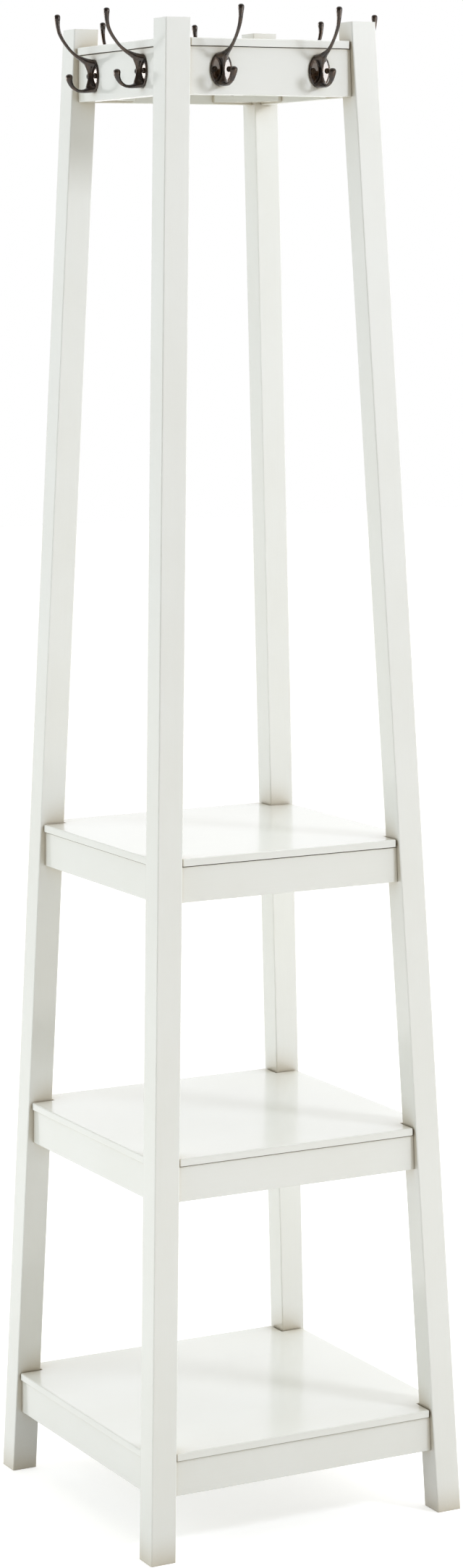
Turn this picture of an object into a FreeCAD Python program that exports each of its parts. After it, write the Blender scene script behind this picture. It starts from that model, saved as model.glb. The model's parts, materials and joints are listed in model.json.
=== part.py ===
import FreeCAD, Part
import math
import os

from FreeCAD import Vector

os.makedirs("parts", exist_ok=True)

# Legs, in millimetres: square posts that lean inwards both ways
leg_section = 32.0
leg_height = 1780.0
base_width = 420.0
top_width = 272.5
leg_edge_radius = 1.5

# Heights of the shelf tops above the floor, and how far the legs stand above the top board
lower_shelf_height = 127.0
middle_shelf_height = 474.0
upper_shelf_height = 823.0
leg_tip_rise = 22.0

# Boards: notched round the legs, with eased edges
board_thickness = 9.0
board_setback = 3.5
board_edge_radius = 1.5
board_lower_edge_radius = 0.8
board_corner_radius = 2.0
notch_gap = 1.5
top_seat_gap = 0.8
shelf_seat_gap = 1.2

# Rails of the top frame and aprons of the shelves
top_rail_height = 54.0
apron_height = 41.5
rail_thickness = 15.0
board_overhang = 3.0
rail_end_gap = 0.3
rail_edge_radius = 1.0

# Corner blocks: one in each inside corner of each frame
block_leg_length = 62.0
block_tip_width = 5.0
block_leg_gap = 0.3
block_lift = 2.5

# Bolts that hold each leg to a corner block, with washer and nut
bolt_radius = 3.0
bolt_leg_bite = 22.0
bolt_end_length = 4.0
bolt_hole_clearance = 0.3
bolt_pilot_clearance = 0.05
bolt_tip_chamfer = 0.8
washer_radius = 9.0
washer_thickness = 1.6
nut_across_flats = 10.0
nut_thickness = 5.0
nut_thread_clearance = 0.05

# Screws, shared values
screw_pilot_clearance = 0.05
screw_point_length = 3.0
screw_point_radius = 0.45
recess_width = 0.9
recess_span = 3.2
recess_depth = 1.0

# Screws that hold the corner blocks to the rails
block_screw_inset = 16.0
block_screw_rise = 14.0
block_screw_grip = 10.0
block_screw_bite = 10.0
block_screw_head_radius = 3.5
block_screw_head_height = 2.2
block_screw_head_rounding = 0.6
block_screw_shank_radius = 2.0
counterbore_clearance = 0.6

# Screws that hold the boards down, driven up through the corner blocks
board_screw_offset = 14.0
board_screw_grip = 20.0
board_screw_bite = 6.0
board_screw_head_radius = 3.5
board_screw_head_height = 2.2
board_screw_head_rounding = 0.6
board_screw_shank_radius = 1.9

# Hooks: two on each top rail
hook_spacing = 128.0
hook_rise = 1.8
plate_height = 39.6
plate_width = 28.0
plate_thickness = 3.0
plate_edge_radius = 1.2
hook_screw_spacing = 18.4
hook_screw_head_radius = 3.2
hook_screw_head_height = 1.3
hook_screw_head_rounding = 1.0
hook_screw_shank_radius = 1.7
hook_screw_bite = 10.0
plate_hole_clearance = 0.1

# Hook arms: reach from the rail, height from the plate's centre, radius
upper_arm = [
    (2.0, 13.6, 6.0),
    (5.0, 14.6, 5.2),
    (9.0, 16.0, 4.2),
    (14.5, 18.6, 3.1),
    (22.0, 22.6, 2.2),
    (29.0, 28.2, 1.95),
    (35.0, 34.8, 2.0),
    (40.0, 41.6, 2.1),
    (43.8, 49.0, 2.3),
    (45.5, 56.0, 2.6),
    (46.0, 62.0, 3.1),
    (46.0, 67.0, 3.7),
]
upper_tip_radius = 3.85
lower_arm = [
    (2.0, -14.2, 5.6),
    (5.0, -15.8, 4.0),
    (9.0, -17.1, 2.7),
    (16.0, -17.9, 1.95),
    (22.5, -16.8, 1.9),
    (28.2, -13.0, 2.5),
    (31.4, -7.6, 3.3),
    (32.3, -2.1, 4.1),
]
lower_tip_radius = 4.3
rib_stations = [
    (1.2, -17.0, 6.0),
    (3.2, -13.0, 5.2),
    (5.0, -7.0, 4.1),
    (5.7, 0.0, 3.4),
    (5.0, 7.0, 4.2),
    (3.2, 13.0, 5.4),
    (1.2, 17.0, 6.2),
]

UP = Vector(0, 0, 1)
INWARDS = Vector(0, 1, 0)
DIAGONAL = Vector(1, 1, 0)
CENTRE = Vector(0, 0, 0)
QUARTER_TURN = 90
QUARTERS = range(4)
NUT_SIDES = 6
TOUCH = 0.01
SIDES = ["front", "right", "back", "left"]
CORNERS = ["back_right", "back_left", "front_left", "front_right"]
ROOT_TWO = math.sqrt(2)
lean = (base_width - top_width) / 2 / leg_height


def half_width(height):
    """Distance from the centre line to a leg's outer face at a height."""
    return base_width / 2 - lean * height


def turned(shape, quarter):
    """A copy of the shape, turned by quarter turns about the centre line."""
    copy = shape.copy()
    copy.rotate(CENTRE, UP, QUARTER_TURN * quarter)
    return copy


def export(name, shape):
    shape.exportStep(f"parts/{name}.step")


def everywhere(solids):
    """A group of the solids, repeated in every quarter."""
    return Part.makeCompound([turned(solid, quarter) for solid in solids for quarter in QUARTERS])


def edges_where(shape, test):
    return [edge for edge in shape.Edges if test(edge)]


def upper_rim(shape):
    """The edges round a shape's upper face."""
    level = shape.BoundBox.ZMax - TOUCH
    return edges_where(shape, lambda edge: edge.BoundBox.ZMin > level)


def lower_rim(shape):
    """The edges round a shape's lower face."""
    level = shape.BoundBox.ZMin + TOUCH
    return edges_where(shape, lambda edge: edge.BoundBox.ZMax < level)


class Level:
    """One horizontal frame of the tower: a board, four rails and four corner blocks."""

    def __init__(self, board_name, rail_name, board_top, rail_height, seat_gap):
        self.board_name = board_name
        self.rail_name = rail_name
        self.board_top = board_top
        self.rail_height = rail_height
        self.board_bottom = board_top - board_thickness
        self.rail_top = self.board_bottom - seat_gap
        self.rail_bottom = self.rail_top - rail_height
        self.block_bottom = self.rail_bottom + block_lift
        self.middle = self.rail_top - rail_height / 2
        self.board_half = half_width(board_top) - board_setback
        self.notch_start = half_width(board_top) - leg_section - notch_gap
        self.rail_face = self.board_half - board_overhang
        self.rail_inside = self.rail_face - rail_thickness

    def rail_end(self, height):
        """Distance from the middle of a rail to its end at a height, just clear of the leg."""
        return half_width(height) - leg_section - rail_end_gap

    def block_front(self):
        """Distance from the centre line to a block's long face, along the diagonal."""
        return (2 * self.rail_inside - block_leg_length - block_tip_width) / ROOT_TWO

    def block_back(self):
        """Distance from the centre line to a block's short face, just clear of the leg."""
        return ROOT_TWO * (half_width(self.board_bottom) - leg_section) - block_leg_gap

    def leg_edge(self):
        """Distance from the centre line to the leg's inner edge at the bolt's height."""
        return ROOT_TWO * (half_width(self.middle) - leg_section)


LEVELS = [
    Level("top_board", "top_rail", leg_height - leg_tip_rise, top_rail_height, top_seat_gap),
    Level("upper_shelf_board", "upper_apron", upper_shelf_height, apron_height, shelf_seat_gap),
    Level("middle_shelf_board", "middle_apron", middle_shelf_height, apron_height, shelf_seat_gap),
    Level("lower_shelf_board", "lower_apron", lower_shelf_height, apron_height, shelf_seat_gap),
]
TOP = LEVELS[0]


def wood_screw(head_radius, head_height, head_rounding, shank_radius, length):
    """A screw with its head's underside at the origin, pointing down, with a cross recess."""
    head = Part.makeCylinder(head_radius, head_height, CENTRE, UP)
    head = head.makeFillet(head_rounding, upper_rim(head))
    for angle in (0, QUARTER_TURN):
        slot = Part.makeBox(recess_span, recess_width, recess_depth)
        slot.translate(Vector(-recess_span / 2, -recess_width / 2, head_height - recess_depth))
        slot.rotate(CENTRE, UP, angle)
        head = head.cut(slot)
    shank = Part.makeCylinder(shank_radius, length - screw_point_length, CENTRE, -UP)
    tip_start = Vector(0, 0, screw_point_length - length)
    point = Part.makeCone(shank_radius, screw_point_radius, screw_point_length, tip_start, -UP)
    return head.fuse([shank, point]).removeSplitter()


def pilot_hole(shank_radius, length, start, direction):
    """The hole that a screw's shank fills, from its head's underside."""
    radius = shank_radius + screw_pilot_clearance
    return Part.makeCylinder(radius, length + screw_pilot_clearance, start, direction)


def aimed(shape, start, direction):
    """A copy of a screw that sits at a point and drives along a direction."""
    copy = shape.copy()
    copy.Placement = FreeCAD.Placement(start, FreeCAD.Rotation(-UP, direction))
    return copy


def leg_bolt_hole(level):
    """The blind hole in the back right leg for one level's bolt."""
    start = level.block_back() / ROOT_TWO
    length = level.leg_edge() + bolt_leg_bite + bolt_pilot_clearance - level.block_back()
    origin = Vector(start, start, level.middle)
    return Part.makeCylinder(bolt_radius + bolt_pilot_clearance, length, origin, DIAGONAL)


def make_leg():
    """The back right leg: an oblique square prism with its ends cut level."""
    outer = base_width / 2
    inner = outer - leg_section
    points = [(inner, inner), (outer, inner), (outer, outer), (inner, outer), (inner, inner)]
    foot = Part.Face(Part.makePolygon([Vector(x, y, 0) for x, y in points]))
    rise = Vector(-lean * leg_height, -lean * leg_height, leg_height)
    leg = foot.extrude(rise)
    long_edges = edges_where(leg, lambda edge: edge.BoundBox.ZLength > leg_section)
    leg = leg.makeFillet(leg_edge_radius, long_edges)
    return leg.cut([leg_bolt_hole(level) for level in LEVELS])


def board_screw_spot(level):
    """Where a board's screw stands in the back right corner, to one side of the bolt."""
    along = (level.block_front() + level.block_back()) / 2 / ROOT_TWO
    aside = board_screw_offset / ROOT_TWO
    return Vector(along + aside, along - aside, level.board_bottom - board_screw_grip)


def board_screw_length():
    return board_screw_grip + board_screw_bite


def make_board(level):
    """A square board with a notch at each corner, rounded outer corners and eased edges."""
    half = level.board_half
    notch = level.notch_start
    corner = [(half, notch), (notch, notch), (notch, half)]
    outline = []
    for quarter in QUARTERS:
        spin = FreeCAD.Rotation(UP, QUARTER_TURN * quarter)
        outline += [spin.multVec(Vector(x, y, level.board_bottom)) for x, y in corner]
    board = Part.Face(Part.makePolygon(outline + outline[:1])).extrude(UP * board_thickness)
    corner_reach = math.hypot(half, notch) - TOUCH
    uprights = edges_where(board, lambda edge: edge.BoundBox.ZLength > board_thickness - TOUCH)
    outer = [edge for edge in uprights if math.hypot(*edge.CenterOfMass[:2]) > corner_reach]
    board = board.makeFillet(board_corner_radius, outer)
    board = board.makeFillet(board_edge_radius, upper_rim(board))
    board = board.makeFillet(board_lower_edge_radius, lower_rim(board))
    hole = pilot_hole(board_screw_shank_radius, board_screw_length(), board_screw_spot(level), UP)
    return board.cut(everywhere([hole]))


def block_screw_places(level):
    """Both screws of the back right block: the middle of the head's seat, and the way it drives."""
    inside = level.rail_inside
    along = inside - block_leg_length + block_screw_inset
    seat = inside - block_screw_grip
    height = level.rail_bottom + block_screw_rise
    return [
        (Vector(along, seat, height), Vector(0, 1, 0)),
        (Vector(seat, along, height), Vector(1, 0, 0)),
    ]


def block_screw_length():
    return block_screw_grip + block_screw_bite


def hook_places():
    """The middle of each hook's back on the front rail."""
    height = TOP.middle + hook_rise
    return [Vector(side * hook_spacing / 2, -TOP.rail_face, height) for side in (-1, 1)]


def hook_screw_places():
    """The seats of the heads of the front rail's hook screws."""
    outward = Vector(0, -plate_thickness, 0)
    places = []
    for place in hook_places():
        for side in (-1, 1):
            places.append(place + outward + Vector(side * hook_screw_spacing / 2, 0, 0))
    return places


def hook_screw_length():
    return plate_thickness + hook_screw_bite


def make_rail(level):
    """The front rail of a level, its ends cut to the legs' lean, with the pilot holes of its screws."""
    outline = []
    for height, order in ((level.rail_bottom, (-1, 1)), (level.rail_top, (1, -1))):
        outline += [Vector(side * level.rail_end(height), -level.rail_face, height) for side in order]
    rail = Part.Face(Part.makePolygon(outline + outline[:1])).extrude(INWARDS * rail_thickness)
    long_edges = edges_where(rail, lambda edge: edge.Length > level.rail_end(level.rail_top))
    low_edges = [edge for edge in long_edges if edge.CenterOfMass.z < level.middle]
    rail = rail.makeFillet(rail_edge_radius, low_edges)
    holes = []
    # The back rail's screw comes to the front in two quarter turns, the right rail's in three
    for (seat, direction), quarters in zip(block_screw_places(level), (2, 3)):
        hole = pilot_hole(block_screw_shank_radius, block_screw_length(), seat, direction)
        holes.append(turned(hole, quarters))
    if level is TOP:
        for seat in hook_screw_places():
            holes.append(pilot_hole(hook_screw_shank_radius, hook_screw_length(), seat, INWARDS))
    return rail.cut(holes)


def make_block(level):
    """The back right corner block: a triangle with its tips and its corner cut off."""
    inside = level.rail_inside
    end = inside - block_leg_length
    tip = inside - block_tip_width
    cut = ROOT_TWO * level.block_back() - inside
    points = [(end, inside), (end, tip), (tip, end), (inside, end), (inside, cut), (cut, inside)]
    outline = [Vector(x, y, level.block_bottom) for x, y in points]
    rise = level.board_bottom - level.block_bottom
    block = Part.Face(Part.makePolygon(outline + outline[:1])).extrude(UP * rise)
    bolt_bore = bolt_radius + bolt_hole_clearance
    bolt_reach = level.block_back() + leg_section
    cuts = [Part.makeCylinder(bolt_bore, bolt_reach, Vector(0, 0, level.middle), DIAGONAL)]
    block_bore = block_screw_head_radius + counterbore_clearance
    for seat, direction in block_screw_places(level):
        cuts.append(pilot_hole(block_screw_shank_radius, block_screw_length(), seat, direction))
        cuts.append(Part.makeCylinder(block_bore, block_leg_length, seat, -direction))
    board_bore = board_screw_head_radius + counterbore_clearance
    seat = board_screw_spot(level)
    cuts.append(pilot_hole(board_screw_shank_radius, board_screw_length(), seat, UP))
    cuts.append(Part.makeCylinder(board_bore, level.rail_height, seat, -UP))
    return block.cut(cuts)


def on_diagonal(level, distance):
    """A point of the back right diagonal at the bolt's height, at a distance from the centre line."""
    return Vector(distance / ROOT_TWO, distance / ROOT_TWO, level.middle)


def make_washer(level):
    start = on_diagonal(level, level.block_front() - washer_thickness)
    hole_radius = bolt_radius + bolt_hole_clearance
    disc = Part.makeCylinder(washer_radius, washer_thickness, start, DIAGONAL)
    return disc.cut(Part.makeCylinder(hole_radius, washer_thickness, start, DIAGONAL))


def make_nut(level):
    """A hexagon nut on the inner end of a leg's bolt."""
    radius = nut_across_flats / 2 / math.cos(math.pi / NUT_SIDES)
    angles = [math.tau * step / NUT_SIDES for step in range(NUT_SIDES + 1)]
    outline = [Vector(radius * math.cos(angle), radius * math.sin(angle), 0) for angle in angles]
    nut = Part.Face(Part.makePolygon(outline)).extrude(UP * nut_thickness)
    nut = nut.cut(Part.makeCylinder(bolt_radius + nut_thread_clearance, nut_thickness))
    start = on_diagonal(level, level.block_front() - washer_thickness - nut_thickness)
    nut.Placement = FreeCAD.Placement(start, FreeCAD.Rotation(UP, DIAGONAL))
    return nut


def make_bolt(level):
    """A headless bolt from inside the frame, through the corner block, into the leg."""
    first = level.block_front() - washer_thickness - nut_thickness - bolt_end_length
    length = level.leg_edge() + bolt_leg_bite - first
    bolt = Part.makeCylinder(bolt_radius, length, on_diagonal(level, first), DIAGONAL)
    ends = edges_where(bolt, lambda edge: len(edge.Vertexes) == 1)
    return bolt.makeChamfer(bolt_tip_chamfer, ends)


def arm_loft(stations):
    """A round arm through circles that stand square to its path, in the plane across the rail."""
    wires = []
    last = len(stations) - 1
    for index, (reach, height, radius) in enumerate(stations):
        before = stations[max(index - 1, 0)]
        after = stations[min(index + 1, last)]
        angle = math.degrees(math.atan2(after[0] - before[0], after[1] - before[1]))
        wire = Part.Wire(Part.makeCircle(radius))
        spin = FreeCAD.Rotation(Vector(1, 0, 0), angle)
        wire.Placement = FreeCAD.Placement(Vector(0, -reach, height), spin)
        wires.append(wire)
    return Part.makeLoft(wires, True, False)


def ball(station, radius):
    return Part.makeSphere(radius, Vector(0, -station[0], station[1]))


def make_plate():
    """The hook's oval back plate, with a rounded front edge and two screw holes."""
    oval = Part.Ellipse(CENTRE, plate_height / 2, plate_width / 2).toShape()
    plate = Part.Face(Part.Wire(oval)).extrude(UP * plate_thickness)
    plate = plate.makeFillet(plate_edge_radius, upper_rim(plate))
    plate.rotate(CENTRE, UP, QUARTER_TURN)
    plate.rotate(CENTRE, Vector(1, 0, 0), QUARTER_TURN)
    hole_radius = hook_screw_shank_radius + plate_hole_clearance
    for side in (-1, 1):
        start = Vector(side * hook_screw_spacing / 2, 0, 0)
        plate = plate.cut(Part.makeCylinder(hole_radius, plate_thickness, start, -INWARDS))
    return plate


def make_hook():
    """A two-arm hook cast in one piece, its back's middle at the origin, facing the front."""
    rings = [Part.makeCircle(r, Vector(0, -reach, height)) for reach, height, r in rib_stations]
    rib = Part.makeLoft([Part.Wire(ring) for ring in rings], True, False)
    corner = Vector(-plate_width / 2, 0, -plate_height)
    behind = Part.makeBox(plate_width, plate_height, 2 * plate_height, corner)
    solids = [
        rib,
        arm_loft(upper_arm),
        ball(upper_arm[-1], upper_tip_radius),
        arm_loft(lower_arm),
        ball(lower_arm[-1], lower_tip_radius),
    ]
    return make_plate().fuse(solids).cut(behind).removeSplitter()


def build_legs():
    leg = make_leg()
    for quarter, corner in enumerate(CORNERS):
        export(f"leg_{corner}", turned(leg, quarter))


def build_frames():
    """The boards, rails and corner blocks of every level."""
    for level in LEVELS:
        export(level.board_name, make_board(level))
        rail = make_rail(level)
        for quarter, side in enumerate(SIDES):
            export(f"{level.rail_name}_{side}", turned(rail, quarter))
        block = make_block(level)
        block_name = level.board_name.replace("_board", "").replace("_shelf", "")
        for quarter, corner in enumerate(CORNERS):
            export(f"{block_name}_block_{corner}", turned(block, quarter))


def build_fasteners():
    """Each kind of hidden fastener, one in every corner of every level or more."""
    block_screw = wood_screw(
        block_screw_head_radius,
        block_screw_head_height,
        block_screw_head_rounding,
        block_screw_shank_radius,
        block_screw_length(),
    )
    board_screw = wood_screw(
        board_screw_head_radius,
        board_screw_head_height,
        board_screw_head_rounding,
        board_screw_shank_radius,
        board_screw_length(),
    )
    block_screws = []
    for level in LEVELS:
        block_screws += [aimed(block_screw, *place) for place in block_screw_places(level)]
    board_screws = [aimed(board_screw, board_screw_spot(level), UP) for level in LEVELS]
    export("leg_bolts", everywhere([make_bolt(level) for level in LEVELS]))
    export("leg_bolt_washers", everywhere([make_washer(level) for level in LEVELS]))
    export("leg_bolt_nuts", everywhere([make_nut(level) for level in LEVELS]))
    export("block_screws", everywhere(block_screws))
    export("board_screws", everywhere(board_screws))


def build_hooks():
    """Two hooks on each top rail, and their screws."""
    hook = make_hook()
    for place, step in zip(hook_places(), (-1, 1)):
        copy = hook.copy()
        copy.translate(place)
        for quarter, side in enumerate(SIDES):
            neighbour = SIDES[(quarter + step) % len(SIDES)]
            export(f"hook_{side}_{neighbour}", turned(copy, quarter))
    screw = wood_screw(
        hook_screw_head_radius,
        hook_screw_head_height,
        hook_screw_head_rounding,
        hook_screw_shank_radius,
        hook_screw_length(),
    )
    placed = [aimed(screw, seat, INWARDS) for seat in hook_screw_places()]
    export("hook_screws", everywhere(placed))


build_legs()
build_frames()
build_fasteners()
build_hooks()
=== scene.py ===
"""Looks of a tapered coat tower: satin painted wood and dark cast double hooks, on a white floor."""

import json
import math

import bmesh
import bpy
from mathutils import Matrix, Vector


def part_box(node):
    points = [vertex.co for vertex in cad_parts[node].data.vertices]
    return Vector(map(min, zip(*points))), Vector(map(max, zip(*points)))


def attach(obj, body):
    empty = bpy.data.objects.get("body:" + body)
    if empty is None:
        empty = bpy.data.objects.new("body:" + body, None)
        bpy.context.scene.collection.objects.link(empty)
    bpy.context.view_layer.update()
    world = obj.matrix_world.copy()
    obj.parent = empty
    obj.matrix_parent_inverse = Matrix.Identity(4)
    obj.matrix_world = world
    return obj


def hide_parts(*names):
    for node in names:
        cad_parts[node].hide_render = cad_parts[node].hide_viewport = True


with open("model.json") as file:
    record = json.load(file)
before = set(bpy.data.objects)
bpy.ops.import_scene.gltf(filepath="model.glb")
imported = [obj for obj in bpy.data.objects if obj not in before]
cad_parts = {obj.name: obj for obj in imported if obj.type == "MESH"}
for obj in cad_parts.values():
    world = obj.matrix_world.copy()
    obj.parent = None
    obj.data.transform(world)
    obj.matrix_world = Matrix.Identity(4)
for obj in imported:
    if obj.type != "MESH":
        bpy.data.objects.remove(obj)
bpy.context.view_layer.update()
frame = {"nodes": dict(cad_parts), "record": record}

MM = 0.001
QUARTER = math.radians(90)
QUARTER_TURNS = {"front": 0, "right": 1, "back": 2, "left": 3}

# The photograph's frame, and the camera that was fitted to it
PHOTO_WIDTH = 640
PHOTO_HEIGHT = 2169
CAMERA_PLACE = Vector((-2.0195, -3.8634, 1.5100))
CAMERA_YAW = math.radians(-27.395)
CAMERA_PITCH = math.radians(-7.271)
CAMERA_ROLL = math.radians(-0.425)
FOCAL_PIXELS = 5039.1
AXIS_PIXEL_X = 289.2
AXIS_PIXEL_Y = 999.2
SENSOR = 36.0

# Colours, linear
PAINT = (0.830, 0.835, 0.795, 1.0)
PAINT_DEEP = (0.812, 0.814, 0.766, 1.0)
# Painted shade: dark brown in the narrow crevices and seams between parts
PAINT_CREVICE_SHADE = (0.330, 0.295, 0.225, 1.0)
PAINT_THIN = (0.640, 0.600, 0.500, 1.0)
# Painted shade: a warm, darker tone deep in the recesses inside the frames
PAINT_RECESS_SHADE = (0.600, 0.540, 0.420, 1.0)
BRONZE_DARK = (0.013, 0.007, 0.004, 1.0)
BRONZE_WARM = (0.046, 0.024, 0.011, 1.0)
BRONZE_RUBBED = (0.210, 0.115, 0.056, 1.0)
SCREW_DARK = (0.010, 0.007, 0.005, 1.0)
SCREW_WARM = (0.040, 0.024, 0.012, 1.0)
# Painted shade: near-black of the strips that stand in for the shade inside the seams
SEAM_SHADE_DARK = (0.012, 0.010, 0.008, 1.0)
SEAM_SHADE_BROWN = (0.030, 0.022, 0.015, 1.0)
ZINC = (0.560, 0.560, 0.540, 1.0)
ZINC_DULL = (0.400, 0.390, 0.360, 1.0)
BACKGROUND = (1.0, 1.0, 1.0, 1.0)
ROOM = (0.31, 0.28, 0.25, 1.0)

# Paint; a noise is scale per metre, octaves and roughness, a bump is depth in millimetres and strength
GRAIN_STRETCH = {"x": (0.025, 1.0, 1.0), "y": (1.0, 0.025, 1.0), "z": (1.0, 1.0, 0.025)}
GRAIN_NOISE = (620.0, 4.0, 0.6)
GRAIN_BUMP = (0.03, 0.12)
PEEL_NOISE = (420.0, 2.0, 0.5)
PEEL_BUMP = (0.02, 0.15)
CLOUD_NOISE = (7.0, 3.0, 0.55)
CLOUD_RANGE = (0.3, 0.7)
CLOUD_SHARE = 0.75
TONE_RANGE = (0.38, 0.62)
WEAR_NOISE = (160.0, 3.0, 0.6)
WEAR_RANGE = (0.50, 0.66)
WEAR_AMOUNT = (0.05, 0.5)
PAINT_ROUGHNESS = (0.16, 0.22)
PAINT_IOR = 1.5
PAINT_COAT = 0.8
PAINT_COAT_ROUGHNESS = 0.14
# Masks of its worn edges, and of the recesses and crevices where shade is painted: reach in millimetres,
# where the mask is full, where it ends
WEAR_EDGE = (1.3, 0.86, 0.97)
# Painted shade in the recesses, over a wide reach
RECESS_SHADE = (60.0, 0.45, 0.82)
# Painted shade in the narrow crevices between parts
CREVICE_SHADE = (5.0, 0.25, 0.62)

# Bronze of the hooks and their screws, in the same terms
PATINA_NOISE = (130.0, 3.0, 0.6)
PATINA_RANGE = (0.40, 0.64)
PATINA_GLOSS_RANGE = (0.35, 0.7)
RUB_NOISE = (420.0, 3.0, 0.65)
RUB_RANGE = (0.45, 0.70)
RUB_AMOUNT = (0.0, 0.6)
RUB_EDGE = (0.5, 0.80, 0.96)
SKIN_NOISE = (1500.0, 2.0, 0.5)
SKIN_BUMP = (0.03, 0.3)
BRONZE_METALLIC = 0.95
BRONZE_ROUGHNESS = (0.24, 0.36)
BRONZE_COAT_ROUGHNESS = 0.06
HOOK_COAT = 1.0
SCREW_COAT = 0.15

# Zinc plate of the hidden fasteners, and the painted shade of the dark strips behind the seams
BLOTCH_RANGE = (0.35, 0.65)
BLOTCH_GLOSS_RANGE = (0.3, 0.7)
ZINC_NOISE = (700.0, 3.0, 0.6)
ZINC_METALLIC = 1.0
ZINC_ROUGHNESS = (0.30, 0.48)
ZINC_BUMP = (0.04, 0.4)
# Painted shade of the seam strips: mottle, roughness and bump
SEAM_SHADE_NOISE = (900.0, 3.0, 0.6)
SEAM_SHADE_ROUGHNESS = (0.80, 0.95)
SEAM_SHADE_BUMP = (0.05, 0.4)

# Samples of the masks, and the colour sockets of a mix node
EDGE_SAMPLES = 6
CREVICE_SAMPLES = 8
MIX_INPUTS = (0, 6, 7)
MIX_RESULT = 2

# Lamps that light the surfaces: name, place, target, size across and up, power in watts, colour
LAMPS = [
    ("key", (1.50, -2.10, 2.35), (0.0, -0.13, 1.50), (0.5, 0.5), 34.0, (0.850, 0.890, 1.0)),
    ("left_fill", (-3.20, 0.60, 1.40), (0.0, 0.0, 0.9), (3.8, 2.4), 34.0, (0.915, 0.990, 1.0)),
    ("left_high", (-2.60, 0.40, 2.70), (0.0, 0.0, 1.5), (3.2, 2.2), 18.0, (0.720, 0.830, 1.0)),
    ("left_low", (-2.40, -0.20, 0.30), (0.0, 0.0, 0.15), (1.6, 0.5), 2.6, (1.0, 0.98, 0.93)),
    ("overhead", (0.0, 0.0, 3.60), (0.0, 0.0, 0.0), (2.6, 2.6), 25.0, (0.976, 0.990, 1.0)),
    ("right_fill", (3.20, -0.60, 1.80), (0.0, 0.0, 1.0), (3.4, 3.0), 34.0, (1.0, 1.0, 1.0)),
    ("front_low", (0.40, -2.60, 0.40), (0.0, 0.0, 0.2), (2.4, 0.6), 4.0, (1.0, 0.960, 0.820)),
]
# Cards that only the hooks' gloss shows, in the same order
CARDS = [
    ("left_card", (-2.05, 2.40, 1.70), (0.0, 0.0, 1.7), (0.9, 1.4), 44.0, (1.0, 0.98, 0.95)),
    ("right_card", (2.10, -2.30, 1.72), (0.0, 0.0, 1.7), (0.4, 1.2), 25.0, (0.95, 0.98, 1.0)),
    ("front_card", (0.55, -2.95, 1.25), (0.0, 0.0, 1.7), (0.5, 2.2), 11.0, (1.0, 0.95, 0.88)),
]

# Light from the world: the sky, the dim room in front and the lit wall behind
SKY_LIGHT = (0.460, 0.445, 0.360, 1.0)
ROOM_LIGHT = (0.080, 0.060, 0.070, 1.0)
WALL_LIGHT = (1.400, 1.400, 1.440, 1.0)
# The way to the room, and how far that way the change to room or wall begins and ends
ROOM_SIDE = (-0.75, -0.66, 0.0)
ROOM_EDGE = (0.30, 0.80)
ROOM_GLOSS_EDGE = (0.20, 0.65)
WALL_EDGE = (-0.20, -0.70)

# Floor, in metres, with its glow from near to far
FLOOR_HALF = 15.0
FLOOR_COLOUR = (0.80, 0.80, 0.79, 1.0)
FLOOR_FADE = (0.7, 2.0)
FLOOR_GLOW = (0.53, 0.62)

# Dark strips that close the seams from behind, as painted shade, in millimetres; their ends leave room for
# the corner blocks
SEAMS = [
    ("top_board", "top_rail", ("front", "right", "back", "left")),
    ("upper_shelf_board", "upper_apron", ("front", "back")),
    ("middle_shelf_board", "middle_apron", ("front", "back")),
    ("lower_shelf_board", "lower_apron", ("front", "back")),
]
STRIP_END = 62.5
STRIP_DEPTH = 2.0
STRIP_HEIGHT = 4.0

# Hook casting, in millimetres: reach from the rail, height from the plate's middle
UPPER_TIP_TOP = 70.85
PLATE_HALF_HEIGHT = 19.8
PLATE_HALF_WIDTH = 14.0
PLATE_SIDES = 96
ARM_SIDES = 32
RING_STEP = 0.6
VOXEL = 0.42
SMOOTH_ROUNDS = 18
SMOOTH_FACTOR = 0.5
# Steps of the plate from its back to its face: inset from the outline, reach
PLATE_STEPS = [
    (0.0, 0.0),
    (0.0, 1.4),
    (0.2, 1.95),
    (0.6, 2.4),
    (1.1, 2.55),
    (1.6, 2.45),
    (2.0, 2.4),
    (12.0, 3.8),
]
# Stations of each arm: reach, height, half depth in the arm's plane, half width across it
UPPER_ARM = [
    (0.5, 14.2, 5.2, 8.6),
    (3.0, 14.6, 5.0, 7.6),
    (6.0, 15.3, 4.7, 6.4),
    (9.5, 16.5, 4.2, 5.1),
    (14.5, 18.9, 3.2, 3.7),
    (22.0, 22.8, 2.3, 2.6),
    (29.0, 28.2, 1.95, 2.1),
    (35.0, 34.8, 2.0, 2.0),
    (40.0, 41.6, 2.1, 2.1),
    (43.8, 49.0, 2.3, 2.3),
    (45.5, 56.0, 2.6, 2.6),
    (46.0, 62.0, 3.1, 3.1),
    (46.0, 66.2, 3.65, 3.65),
    (46.0, 68.6, 3.55, 3.55),
    (46.0, 70.0, 2.7, 2.7),
    (46.0, 70.6, 1.5, 1.5),
]
LOWER_ARM = [
    (0.5, -15.2, 4.4, 8.4),
    (3.0, -15.6, 4.1, 7.4),
    (6.0, -16.2, 3.6, 5.9),
    (9.5, -16.9, 3.0, 4.4),
    (14.0, -17.7, 2.2, 2.8),
    (18.0, -17.8, 1.95, 2.1),
    (22.5, -16.8, 1.95, 2.0),
    (28.2, -13.0, 2.5, 2.5),
    (31.4, -7.6, 3.3, 3.3),
    (32.3, -2.6, 4.2, 4.2),
    (32.3, -0.6, 4.1, 4.1),
    (32.3, 1.0, 3.1, 3.1),
    (32.3, 1.9, 1.5, 1.5),
]
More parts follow.
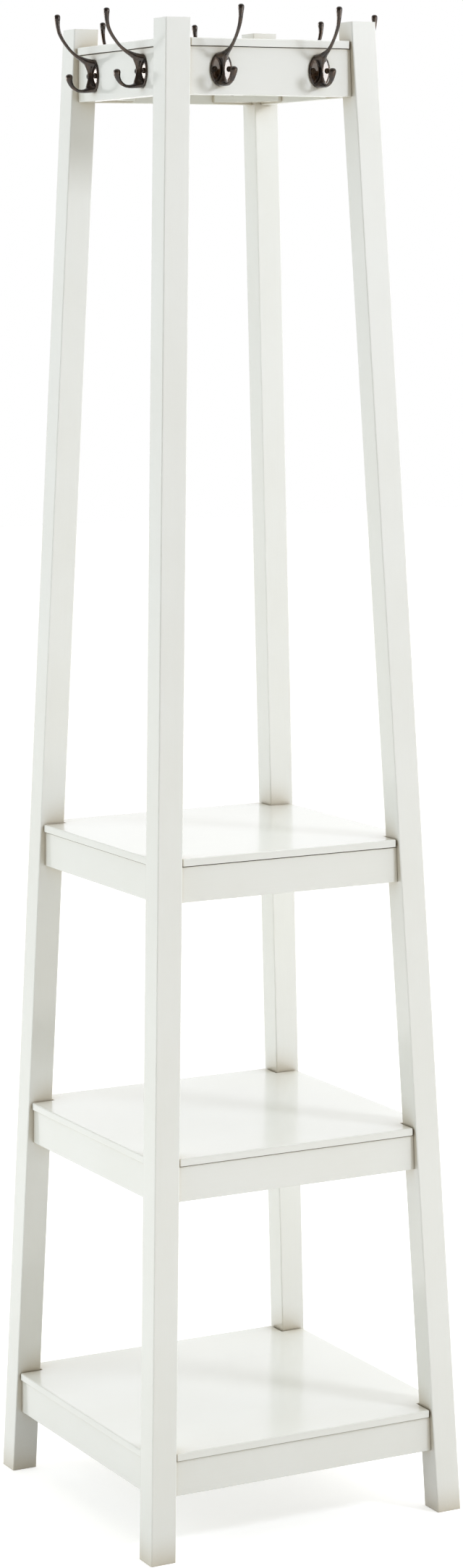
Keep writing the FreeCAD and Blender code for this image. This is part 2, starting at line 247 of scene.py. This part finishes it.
RIB = [
    (0.5, -14.5, 10.4, 6.6),
    (0.8, -12.0, 9.9, 5.4),
    (1.2, -8.5, 8.4, 3.5),
    (1.6, -4.5, 7.0, 2.5),
    (1.7, 0.0, 6.5, 2.2),
    (1.6, 4.5, 7.1, 2.5),
    (1.2, 8.5, 8.8, 3.7),
    (0.8, 12.0, 10.8, 5.8),
    (0.5, 14.5, 11.8, 7.0),
]
# How far each hook was screwed on askew, in degrees clockwise as seen from its own side
HOOK_LEANS = {
    "hook_front_left": 2.0,
    "hook_front_right": 1.0,
    "hook_right_back": 1.6,
    "hook_back_right": 2.4,
    "hook_left_back": -1.4,
    "hook_left_front": 2.2,
}


def new_object(name, data):
    """A new object in the scene for a mesh, a lamp or a camera."""
    piece = bpy.data.objects.new(name, data)
    bpy.context.scene.collection.objects.link(piece)
    return piece


def slot_nodes(slot):
    """The names of the CAD nodes in a material slot."""
    return [row["node"] for row in frame["record"]["subparts"] if row["material_slot"] == slot]


def side_turn(side):
    """The turn from the front to a side."""
    return Matrix.Rotation(QUARTER * QUARTER_TURNS[side], 4, "Z")


class Nodes:
    """A material's or the world's node tree, with short ways to add nodes and links."""

    def __init__(self, tree):
        self.tree = tree
        tree.nodes.clear()

    def put(self, socket, value):
        """Sets a socket to a value, or links another node's output to it."""
        if isinstance(value, bpy.types.NodeSocket):
            self.tree.links.new(value, socket)
        else:
            socket.default_value = value

    def add(self, kind, settings=None, **inputs):
        """A new node; its inputs go by their names, with underscores for spaces."""
        node = self.tree.nodes.new(kind)
        for key, value in (settings or {}).items():
            setattr(node, key, value)
        for key, value in inputs.items():
            self.put(node.inputs[key.replace("_", " ")], value)
        return node

    def mix(self, factor, first, second):
        """A colour between two colours."""
        node = self.add("ShaderNodeMix", {"data_type": "RGBA"})
        for index, value in zip(MIX_INPUTS, (factor, first, second)):
            self.put(node.inputs[index], value)
        return node.outputs[MIX_RESULT]

    def math(self, operation, first, second):
        """A number from two numbers."""
        node = self.add("ShaderNodeMath", {"operation": operation})
        self.put(node.inputs[0], first)
        self.put(node.inputs[1], second)
        return node.outputs[0]

    def dot(self, first, second):
        """How far two directions agree."""
        node = self.add("ShaderNodeVectorMath", {"operation": "DOT_PRODUCT"})
        self.put(node.inputs[0], first)
        self.put(node.inputs[1], second)
        return node.outputs["Value"]

    def spread(self, value, low, high, to_low=0.0, to_high=1.0):
        """A value moved from one range to another, and kept inside it."""
        ends = {"From_Min": low, "From_Max": high, "To_Min": to_low, "To_Max": to_high}
        return self.add("ShaderNodeMapRange", {"clamp": True}, Value=value, **ends).outputs[0]

    def noise(self, vector, scale, detail, roughness):
        """Soft noise at a place."""
        settings = {"Scale": scale, "Detail": detail, "Roughness": roughness}
        return self.add("ShaderNodeTexNoise", None, Vector=vector, **settings).outputs[0]

    def place(self, scale=(1.0, 1.0, 1.0)):
        """The piece's own coordinates, in metres, stretched by a scale."""
        coordinates = self.add("ShaderNodeTexCoord")
        mapping = self.add("ShaderNodeMapping", None, Vector=coordinates.outputs["Object"], Scale=scale)
        return mapping.outputs[0]

    def bump(self, height, depth, strength, normal=None):
        """A normal that follows a height, over another normal where one is given."""
        node = self.add("ShaderNodeBump", None, Height=height, Distance=depth * MM, Strength=strength)
        if normal is not None:
            self.put(node.inputs["Normal"], normal)
        return node.outputs[0]

    def edge(self, radius, low, high):
        """A mask of the edges: 1 where a rounded normal turns away from the surface's own."""
        rounded = self.add("ShaderNodeBevel", {"samples": EDGE_SAMPLES}, Radius=radius * MM)
        own = self.add("ShaderNodeNewGeometry")
        return self.spread(self.dot(rounded.outputs[0], own.outputs["Normal"]), high, low)

    def crevice(self, reach, low, high):
        """A mask of the places that other surfaces close in on, where shade is painted into the colour."""
        open_air = self.add("ShaderNodeAmbientOcclusion", {"samples": CREVICE_SAMPLES}, Distance=reach * MM)
        return self.spread(open_air.outputs["AO"], high, low)

    def output(self, shader):
        """Makes a shader the material's surface."""
        self.add("ShaderNodeOutputMaterial", None, Surface=shader)

    def surface(self, **inputs):
        """Makes the material's surface from a shader's inputs."""
        self.output(self.add("ShaderNodeBsdfPrincipled", None, **inputs).outputs[0])


def new_material(name):
    """An empty material and its nodes."""
    material = bpy.data.materials.new(name)
    material.use_nodes = True
    return material, Nodes(material.node_tree)


def make_paint(axis):
    """Satin off-white paint on wood, with the faint grain of a piece that runs along one axis, and painted
    shade in its recesses and crevices.
    """
    material, nodes = new_material(f"paint_along_{axis}")
    plain = nodes.place()
    grain = nodes.noise(nodes.place(GRAIN_STRETCH[axis]), *GRAIN_NOISE)
    peel = nodes.noise(plain, *PEEL_NOISE)
    cloud = nodes.noise(plain, *CLOUD_NOISE)
    patch = nodes.noise(plain, *WEAR_NOISE)
    cloud_tone = nodes.math("MULTIPLY", cloud, CLOUD_SHARE)
    grain_tone = nodes.math("MULTIPLY", grain, 1.0 - CLOUD_SHARE)
    tone = nodes.math("ADD", cloud_tone, grain_tone)
    colour = nodes.mix(nodes.spread(tone, *TONE_RANGE), PAINT, PAINT_DEEP)
    wear = nodes.spread(patch, *WEAR_RANGE, *WEAR_AMOUNT)
    worn = nodes.math("MULTIPLY", nodes.edge(*WEAR_EDGE), wear)
    colour = nodes.mix(worn, colour, PAINT_THIN)
    # Painted shade: warmer and darker deep in the recesses inside the frames
    colour = nodes.mix(nodes.crevice(*RECESS_SHADE), colour, PAINT_RECESS_SHADE)
    # Painted shade: dark in the narrow crevices and seams between parts
    colour = nodes.mix(nodes.crevice(*CREVICE_SHADE), colour, PAINT_CREVICE_SHADE)
    grained = nodes.bump(grain, *GRAIN_BUMP)
    nodes.surface(
        Base_Color=colour,
        Roughness=nodes.spread(cloud, *CLOUD_RANGE, *PAINT_ROUGHNESS),
        IOR=PAINT_IOR,
        Coat_Weight=PAINT_COAT,
        Coat_Roughness=PAINT_COAT_ROUGHNESS,
        Normal=nodes.bump(peel, *PEEL_BUMP, grained),
    )
    return material


def make_bronze(name, dark, warm, coat):
    """Dark oil-rubbed bronze: nearly black, browner in patches, rubbed to copper on the edges."""
    material, nodes = new_material(name)
    plain = nodes.place()
    patina = nodes.noise(plain, *PATINA_NOISE)
    skin = nodes.noise(plain, *SKIN_NOISE)
    patch = nodes.noise(plain, *RUB_NOISE)
    colour = nodes.mix(nodes.spread(patina, *PATINA_RANGE), dark, warm)
    rub = nodes.spread(patch, *RUB_RANGE, *RUB_AMOUNT)
    rubbed = nodes.math("MULTIPLY", nodes.edge(*RUB_EDGE), rub)
    nodes.surface(
        Base_Color=nodes.mix(rubbed, colour, BRONZE_RUBBED),
        Metallic=BRONZE_METALLIC,
        Roughness=nodes.spread(patina, *PATINA_GLOSS_RANGE, *BRONZE_ROUGHNESS),
        Coat_Weight=coat,
        Coat_Roughness=BRONZE_COAT_ROUGHNESS,
        Normal=nodes.bump(skin, *SKIN_BUMP),
    )
    return material


def make_zinc():
    """Zinc-plated steel of the hidden fasteners, a little blotched."""
    material, nodes = new_material("zinc_plate")
    spangle = nodes.noise(nodes.place(), *ZINC_NOISE)
    nodes.surface(
        Base_Color=nodes.mix(nodes.spread(spangle, *BLOTCH_RANGE), ZINC, ZINC_DULL),
        Metallic=ZINC_METALLIC,
        Roughness=nodes.spread(spangle, *BLOTCH_GLOSS_RANGE, *ZINC_ROUGHNESS),
        Normal=nodes.bump(spangle, *ZINC_BUMP),
    )
    return material


def make_seam_shade_strip():
    """Near-black painted shade for the strips behind the seams."""
    material, nodes = new_material("seam_shade_strip")
    shade_mottle = nodes.noise(nodes.place(), *SEAM_SHADE_NOISE)
    nodes.surface(
        Base_Color=nodes.mix(nodes.spread(shade_mottle, *BLOTCH_RANGE), SEAM_SHADE_DARK, SEAM_SHADE_BROWN),
        Roughness=nodes.spread(shade_mottle, *BLOTCH_GLOSS_RANGE, *SEAM_SHADE_ROUGHNESS),
        Normal=nodes.bump(shade_mottle, *SEAM_SHADE_BUMP),
    )
    return material


def dress(names, material):
    """Gives CAD nodes a material in every slot."""
    for name in names:
        mesh = frame["nodes"][name].data
        mesh.materials.clear()
        mesh.materials.append(material)


def grain_axis(name):
    """The axis that a wooden piece's grain follows."""
    if name.startswith("leg_"):
        return "z"
    if name.endswith("_left") or name.endswith("_right"):
        return "y"
    return "x"


def dress_cad_nodes():
    """Paints the wood along its grain, and plates the hidden fasteners."""
    wood = slot_nodes("white_paint")
    for axis in GRAIN_STRETCH:
        dress([name for name in wood if grain_axis(name) == axis], make_paint(axis))
    dress(slot_nodes("zinc_steel"), make_zinc())


def make_box(name, low, high):
    """A box mesh between two corners."""
    shape = bmesh.new()
    bmesh.ops.create_cube(shape, size=1.0)
    bmesh.ops.scale(shape, vec=high - low, verts=shape.verts)
    bmesh.ops.translate(shape, vec=(low + high) / 2, verts=shape.verts)
    mesh = bpy.data.meshes.new(name)
    shape.to_mesh(mesh)
    shape.free()
    return mesh


def close_seams():
    """A dark strip behind rails and aprons, a sheet of painted shade, so that no light shows through the
    seams over them.
    """
    material = make_seam_shade_strip()
    for board, rail, sides in SEAMS:
        board_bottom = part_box(board)[0].z
        rail_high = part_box(f"{rail}_front")[1]
        half = -rail_high.y - STRIP_END * MM
        low = Vector((-half, rail_high.y, rail_high.z - STRIP_HEIGHT * MM))
        high = Vector((half, rail_high.y + STRIP_DEPTH * MM, board_bottom))
        mesh = make_box(f"{rail}_seam", low, high)
        mesh.materials.append(material)
        for side in sides:
            strip = new_object(f"{rail}_{side}_seam", mesh)
            strip.matrix_world = side_turn(side)
            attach(strip, "root")


def catmull(before, here, there, after, t):
    """A value between two neighbours on a smooth curve through all four."""
    rise = (there - before) / 2
    fall = (after - here) / 2
    gap = there - here
    return here + rise * t + (3 * gap - 2 * rise - fall) * t**2 + (rise + fall - 2 * gap) * t**3


def smooth_stations(stations):
    """The stations of an arm, with more between them on a smooth curve."""
    points = [Vector(station[:2]) for station in stations]
    dense = []
    last = len(stations) - 1
    for index in range(last):
        before = stations[max(index - 1, 0)]
        here = stations[index]
        there = stations[index + 1]
        after = stations[min(index + 2, last)]
        count = max(1, round((points[index + 1] - points[index]).length / RING_STEP))
        for step in range(count):
            t = step / count
            dense.append([catmull(a, b, c, d, t) for a, b, c, d in zip(before, here, there, after)])
    dense.append(list(stations[last]))
    return dense


def join_rings(shape, rings):
    """Faces between rings of equal count, with a cap on both ends."""
    count = len(rings[0])
    for low, high in zip(rings, rings[1:]):
        for side in range(count):
            following = (side + 1) % count
            shape.faces.new((low[side], low[following], high[following], high[side]))
    shape.faces.new(rings[0][::-1])
    shape.faces.new(rings[-1])


def add_arm(shape, stations, path_up=False):
    """A closed arm of oval rings, square to its path; or level rings, where path_up is set."""
    rings = []
    dense = smooth_stations(stations)
    for index, (reach, height, depth, width) in enumerate(dense):
        before = dense[max(index - 1, 0)]
        after = dense[min(index + 1, len(dense) - 1)]
        along = Vector((after[0] - before[0], after[1] - before[1])).normalized()
        if path_up:
            along = Vector((0.0, 1.0))
        out = Vector((along.y, -along.x))
        ring = []
        for side in range(ARM_SIDES):
            angle = math.tau * side / ARM_SIDES
            offset = out * depth * math.cos(angle)
            place = Vector((width * math.sin(angle), -(reach + offset.x), height + offset.y))
            ring.append(shape.verts.new(place))
        rings.append(ring)
    join_rings(shape, rings)


def add_plate(shape):
    """The oval back plate, with a rounded rim."""
    rings = []
    for inset, reach in PLATE_STEPS:
        ring = []
        for side in range(PLATE_SIDES):
            angle = math.tau * side / PLATE_SIDES
            across = (PLATE_HALF_WIDTH - inset) * math.cos(angle)
            up = (PLATE_HALF_HEIGHT - inset) * math.sin(angle)
            ring.append(shape.verts.new(Vector((across, -reach, up))))
        rings.append(ring)
    join_rings(shape, rings)


def make_hook_blank():
    """The plate, rib and arms of one hook, still as separate closed shells."""
    shape = bmesh.new()
    add_plate(shape)
    add_arm(shape, RIB, path_up=True)
    add_arm(shape, UPPER_ARM)
    add_arm(shape, LOWER_ARM)
    bmesh.ops.recalc_face_normals(shape, faces=shape.faces[:])
    mesh = bpy.data.meshes.new("hook_blank")
    shape.to_mesh(mesh)
    shape.free()
    return mesh


def cut_flat_back(mesh):
    """Cuts away what stands behind the plate, and closes the cut."""
    shape = bmesh.new()
    shape.from_mesh(mesh)
    everything = shape.verts[:] + shape.edges[:] + shape.faces[:]
    cut = bmesh.ops.bisect_plane(
        shape, geom=everything, plane_co=(0, 0, 0), plane_no=(0, 1, 0), clear_outer=True
    )
    rim = [item for item in cut["geom_cut"] if isinstance(item, bmesh.types.BMEdge)]
    bmesh.ops.holes_fill(shape, edges=rim, sides=0)
    bmesh.ops.recalc_face_normals(shape, faces=shape.faces[:])
    shape.to_mesh(mesh)
    shape.free()


def make_hook_mesh():
    """One hook as a smooth casting, facing the front: its shells fused, softened and cut flat behind."""
    blank = new_object("hook_blank", make_hook_blank())
    fuse = blank.modifiers.new("fuse", "REMESH")
    fuse.mode = "VOXEL"
    fuse.voxel_size = VOXEL
    soften = blank.modifiers.new("soften", "SMOOTH")
    soften.factor = SMOOTH_FACTOR
    soften.iterations = SMOOTH_ROUNDS
    graph = bpy.context.evaluated_depsgraph_get()
    casting = bpy.data.meshes.new_from_object(blank.evaluated_get(graph))
    bpy.data.objects.remove(blank)
    casting.name = "hook_casting"
    cut_flat_back(casting)
    casting.transform(Matrix.Scale(MM, 4))
    for face in casting.polygons:
        face.use_smooth = True
    casting.materials.clear()
    return casting


def place_hooks():
    """A casting for each CAD hook, turned to its side and set on its rail; then the screws."""
    metal = make_bronze("oil_rubbed_bronze", BRONZE_DARK, BRONZE_WARM, HOOK_COAT)
    casting = make_hook_mesh()
    casting.materials.append(metal)
    for name in slot_nodes("bronze"):
        turn = side_turn(name.split("_")[1])
        low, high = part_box(name)
        outward = turn @ Vector((0, -1, 0))
        back = (low + high) / 2 - outward * abs((high - low).dot(outward)) / 2
        back.z = high.z - UPPER_TIP_TOP * MM
        lean = math.radians(HOOK_LEANS.get(name, 0.0))
        leaning = casting.copy()
        leaning.transform(Matrix.Rotation(lean, 4, "Y"))
        piece = new_object(f"{name}_casting", leaning)
        piece.matrix_world = Matrix.Translation(back) @ turn
        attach(piece, "root")
        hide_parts(name)
    dress(["hook_screws"], make_bronze("screw_bronze", SCREW_DARK, SCREW_WARM, SCREW_COAT))


def add_lamp(name, place, target, size, power, colour):
    """An area lamp that faces its target, and isn't seen itself."""
    data = bpy.data.lights.new(name, "AREA")
    data.shape = "RECTANGLE"
    data.size, data.size_y = size
    data.energy = power
    data.color = colour
    lamp = new_object(name, data)
    lamp.location = place
    aim = Vector(target) - Vector(place)
    lamp.rotation_euler = aim.to_track_quat("-Z", "Y").to_euler()
    lamp.visible_camera = False
    return lamp


def light_surfaces():
    """Sets up the lamps, which no gloss shows."""
    for row in LAMPS:
        lamp = add_lamp(*row)
        lamp.visible_glossy = False


def light_hooks():
    """Sets up the cards, for the hooks alone."""
    metal = bpy.data.collections.new("hook_metal")
    for name in slot_nodes("bronze"):
        metal.objects.link(bpy.data.objects[f"{name}_casting"])
    for row in CARDS:
        card = add_lamp(*row)
        card.visible_diffuse = False
        card.light_linking.receiver_collection = metal


def ray_kinds(nodes):
    """1 for rays from the camera; and 1 for rays in gloss and through glass."""
    path = nodes.add("ShaderNodeLightPath")
    mirrored = nodes.math("MAXIMUM", path.outputs["Is Glossy Ray"], path.outputs["Is Transmission Ray"])
    return path.outputs["Is Camera Ray"], mirrored


def make_world():
    """A white backdrop with a lit wall behind the object, which fades into the dim room in front."""
    world = bpy.data.worlds.new("studio")
    bpy.context.scene.world = world
    world.use_nodes = True
    nodes = Nodes(world.node_tree)
    heading = nodes.add("ShaderNodeTexCoord").outputs["Generated"]
    towards = nodes.dot(heading, ROOM_SIDE)
    behind = nodes.mix(nodes.spread(towards, *WALL_EDGE), SKY_LIGHT, WALL_LIGHT)
    lit = nodes.mix(nodes.spread(towards, *ROOM_EDGE), behind, ROOM_LIGHT)
    reflected = nodes.mix(nodes.spread(towards, *ROOM_GLOSS_EDGE), BACKGROUND, ROOM)
    from_camera, mirrored = ray_kinds(nodes)
    shade = nodes.mix(mirrored, lit, reflected)
    shade = nodes.mix(from_camera, shade, BACKGROUND)
    sky = nodes.add("ShaderNodeBackground", None, Color=shade)
    nodes.add("ShaderNodeOutputWorld", None, Surface=sky.outputs[0])


def make_floor_white():
    """Matt white that keeps shadows, and glows only for the rays that show it, more so further out."""
    material, nodes = new_material("floor_white")
    matt = nodes.add("ShaderNodeBsdfDiffuse", None, Color=FLOOR_COLOUR)
    seen = nodes.math("MAXIMUM", *ray_kinds(nodes))
    distance = nodes.add("ShaderNodeVectorMath", {"operation": "LENGTH"})
    nodes.put(distance.inputs[0], nodes.place())
    strength = nodes.spread(distance.outputs["Value"], *FLOOR_FADE, *FLOOR_GLOW)
    glow = nodes.add("ShaderNodeEmission", None, Strength=nodes.math("MULTIPLY", seen, strength))
    both = nodes.add("ShaderNodeAddShader")
    nodes.put(both.inputs[0], matt.outputs[0])
    nodes.put(both.inputs[1], glow.outputs[0])
    nodes.output(both.outputs[0])
    return material


def make_floor():
    """A wide floor under the object, as stage."""
    shape = bmesh.new()
    bmesh.ops.create_grid(shape, x_segments=1, y_segments=1, size=FLOOR_HALF)
    mesh = bpy.data.meshes.new("floor")
    shape.to_mesh(mesh)
    shape.free()
    mesh.materials.append(make_floor_white())
    new_object("floor", mesh)


def make_camera():
    """The fitted camera, shifted so that its axis meets the fitted pixel."""
    data = bpy.data.cameras.new("camera")
    data.sensor_width = SENSOR
    data.lens = FOCAL_PIXELS * SENSOR / PHOTO_HEIGHT
    data.shift_x = (PHOTO_WIDTH / 2 - AXIS_PIXEL_X) / PHOTO_HEIGHT
    data.shift_y = (AXIS_PIXEL_Y - PHOTO_HEIGHT / 2) / PHOTO_HEIGHT
    camera = new_object("camera", data)
    level = Matrix.Rotation(QUARTER + CAMERA_PITCH, 4, "X")
    turn = Matrix.Rotation(CAMERA_YAW, 4, "Z") @ level @ Matrix.Rotation(CAMERA_ROLL, 4, "Z")
    camera.matrix_world = Matrix.Translation(CAMERA_PLACE) @ turn
    bpy.context.scene.camera = camera


make_camera()
make_world()
make_floor()
light_surfaces()
dress_cad_nodes()
close_seams()
place_hooks()
light_hooks()
bpy.context.scene.view_settings.view_transform = "Standard"
